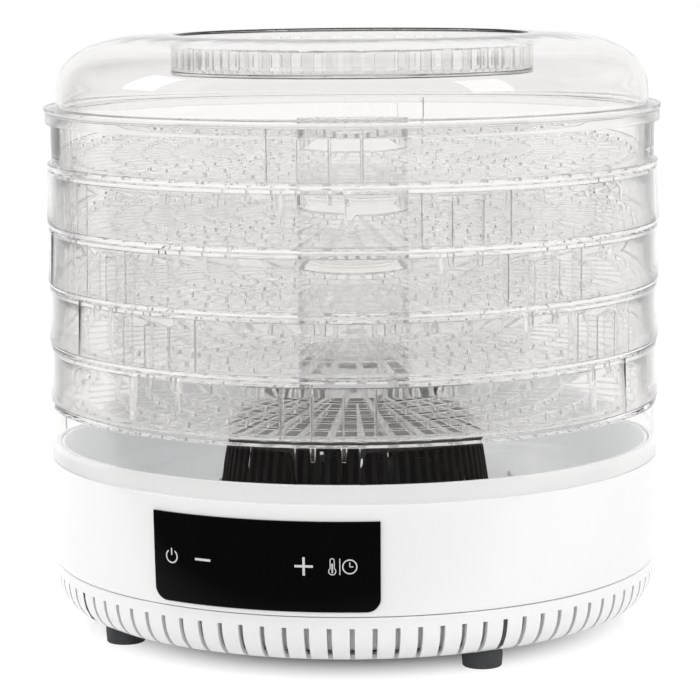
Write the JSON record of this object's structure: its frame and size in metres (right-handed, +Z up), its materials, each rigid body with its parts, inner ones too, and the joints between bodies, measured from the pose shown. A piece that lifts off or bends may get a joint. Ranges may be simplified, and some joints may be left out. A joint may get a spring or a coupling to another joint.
{
  "type": "food dehydrator",
  "caption": "Round stacking food dehydrator: a white fan base with a touch panel and rubber feet, clear perforated drying trays and a vented clear lid.",
  "frame": {"origin": "centre of the stack's axis on the plane of the feet's undersides", "axes": "+Z up along the stack's axis, -Y out through the middle of the control panel"},
  "size_m": [0.33, 0.3305, 0.3158],
  "materials": {
    "clear_plastic": "clear, polished",
    "white_plastic": "gloss",
    "black_gloss": "high gloss",
    "black_matte": "matte",
    "dark_rubber": "matte",
    "steel": "satin",
    "heater_wire": "oxidised",
    "mica": "matte",
    "circuit_green": "satin",
    "copper": "satin"
  },
  "bodies": {
    "base": {"air_deck": "white_plastic", "base_screw_1": "steel", "base_screw_2": "steel", "base_screw_3": "steel", "base_screw_4": "steel", "base_shell": "white_plastic", "base_skirt": "white_plastic", "bottom_plate": "white_plastic", "bracket_post_1": "white_plastic", "bracket_post_2": "white_plastic", "bracket_post_3": "white_plastic", "bracket_screw_1": "steel", "bracket_screw_2": "steel", "bracket_screw_3": "steel", "capacitor_1": "black_matte", "control_board": "circuit_green", "control_panel": "black_gloss", "cord_gland": "dark_rubber", "deck_post_1": "white_plastic", "deck_post_2": "white_plastic", "deck_post_3": "white_plastic", "deck_post_4": "white_plastic", "display_module": "black_matte", "duct_ring": "steel", "fan_guard": "black_matte", "foot_1": "dark_rubber", "foot_2": "dark_rubber", "foot_3": "dark_rubber", "foot_4": "dark_rubber", "foot_strip_1": "dark_rubber", "foot_strip_2": "dark_rubber", "foot_strip_3": "dark_rubber", "foot_strip_4": "dark_rubber", "guard_screw_1": "steel", "guard_screw_2": "steel", "guard_screw_3": "steel", "guard_screw_4": "steel", "heater_coil_1": "heater_wire", "heater_coil_2": "heater_wire", "heater_frame": "mica", "heater_terminal": "steel", "motor_bearing_1": "steel", "motor_bearing_2": "steel", "motor_body": "steel", "motor_bracket": "steel", "power_board": "circuit_green", "temperature_sensor_1": "steel", "terminal_block": "white_plastic", "thermal_fuse": "white_plastic", "touch_film": "copper", "transformer": "black_matte"},
    "fan": {"fan_impeller": "black_matte", "motor_shaft": "steel", "fan_clip": "steel"},
    "tray_5": {"tray_5": "clear_plastic"},
    "tray_4": {"tray_4": "clear_plastic"},
    "tray_3": {"tray_3": "clear_plastic"},
    "tray_2": {"tray_2": "clear_plastic"},
    "tray_1": {"tray_1": "clear_plastic"},
    "lid": {"lid": "clear_plastic"}
  },
  "joints": [
    {"name": "fan_spin", "type": "hinge", "parent": "base", "child": "fan", "pos_m": [0, 0, 0.086], "axis": [0, 0, 1], "continuous": true},
    {"name": "tray_5_lift", "type": "slide", "parent": "base", "child": "tray_5", "axis": [0, 0, 1], "range_m": [0, 0.05]},
    {"name": "tray_4_lift", "type": "slide", "parent": "tray_5", "child": "tray_4", "axis": [0, 0, 1], "range_m": [0, 0.05]},
    {"name": "tray_3_lift", "type": "slide", "parent": "tray_4", "child": "tray_3", "axis": [0, 0, 1], "range_m": [0, 0.05]},
    {"name": "tray_2_lift", "type": "slide", "parent": "tray_3", "child": "tray_2", "axis": [0, 0, 1], "range_m": [0, 0.05]},
    {"name": "tray_1_lift", "type": "slide", "parent": "tray_2", "child": "tray_1", "axis": [0, 0, 1], "range_m": [0, 0.05]},
    {"name": "lid_lift", "type": "slide", "parent": "tray_1", "child": "lid", "axis": [0, 0, 1], "range_m": [0, 0.05]}
  ]
}
